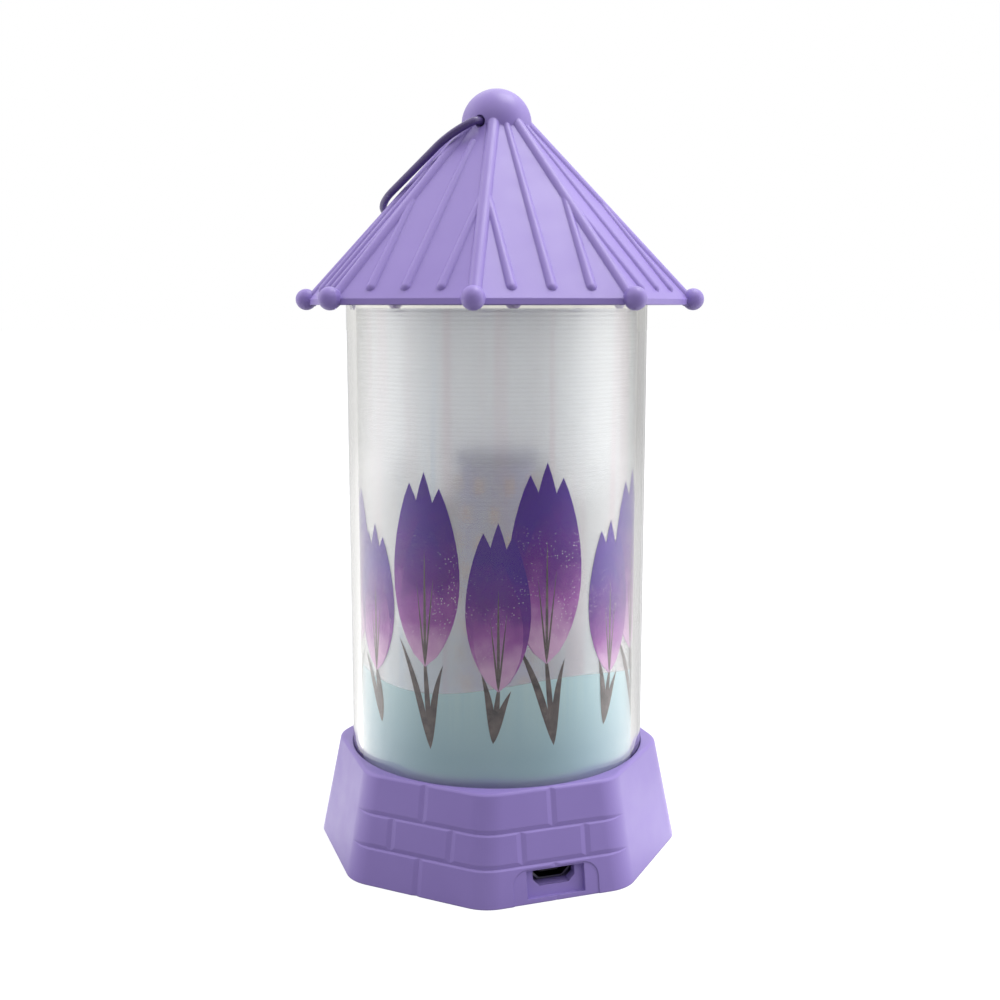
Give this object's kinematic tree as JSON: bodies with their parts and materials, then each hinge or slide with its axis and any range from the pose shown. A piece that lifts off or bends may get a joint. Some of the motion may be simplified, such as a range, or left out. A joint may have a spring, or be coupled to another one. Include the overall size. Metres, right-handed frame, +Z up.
{
  "type": "led flame lantern",
  "caption": "Small table lantern with a brick-patterned octagonal base, a clear tube lined with a printed film, a flame lamp column, a ribbed roof with a ball finial and a swinging wire bail",
  "frame": {"origin": "middle of the underside of the base", "axes": "+Z up; a corner of the base points to -Y, and the charging inlet is on the face to its right"},
  "size_m": [0.082, 0.082, 0.1521],
  "materials": {
    "lilac_plastic": "satin moulded",
    "clear_plastic": "clear, polished",
    "printed_film": "silvery, printed",
    "painted_wire": "semi-gloss paint",
    "white_plastic": "moulded",
    "black_plastic": "moulded",
    "lamp_board": "solder mask",
    "lamp_amber": "cast resin",
    "green_board": "solder mask",
    "chip_black": "moulded epoxy",
    "screw_steel": "zinc plated",
    "socket_steel": "tinned",
    "cell_foil": "satin foil",
    "foam_pad": "foam",
    "lead_red": "sleeve",
    "lead_black": "sleeve"
  },
  "bodies": {
    "lantern": {"base_shell": "lilac_plastic", "base_cover": "lilac_plastic", "cover_screws": "screw_steel", "lamp_deck": "white_plastic", "deck_screws": "screw_steel", "column_post": "black_plastic", "flame_board": "lamp_board", "flame_leds": "lamp_amber", "column_cap": "black_plastic", "main_board": "green_board", "board_chips": "chip_black", "board_screws": "screw_steel", "usb_socket": "socket_steel", "usb_tongue": "black_plastic", "battery_cell": "cell_foil", "battery_pad": "foam_pad", "battery_lead_red": "lead_red", "battery_lead_black": "lead_black", "lamp_lead_red": "lead_red", "lamp_lead_black": "lead_black", "switch_body": "socket_steel", "clear_tube": "clear_plastic", "scene_film": "printed_film", "roof_plate": "lilac_plastic", "roof_shell": "lilac_plastic"},
    "bail": {"bail_wire": "painted_wire"},
    "knob": {"switch_knob": "black_plastic"}
  },
  "joints": [
    {"name": "bail_swing", "type": "hinge", "parent": "lantern", "child": "bail", "pos_m": [0, 0, 0.1452], "axis": [0.421, 0.907, 0], "range_deg": [0, 245]},
    {"name": "switch_slide", "type": "slide", "parent": "lantern", "child": "knob", "axis": [0.9239, 0.3827, 0], "range_m": [0, 0.002]}
  ]
}
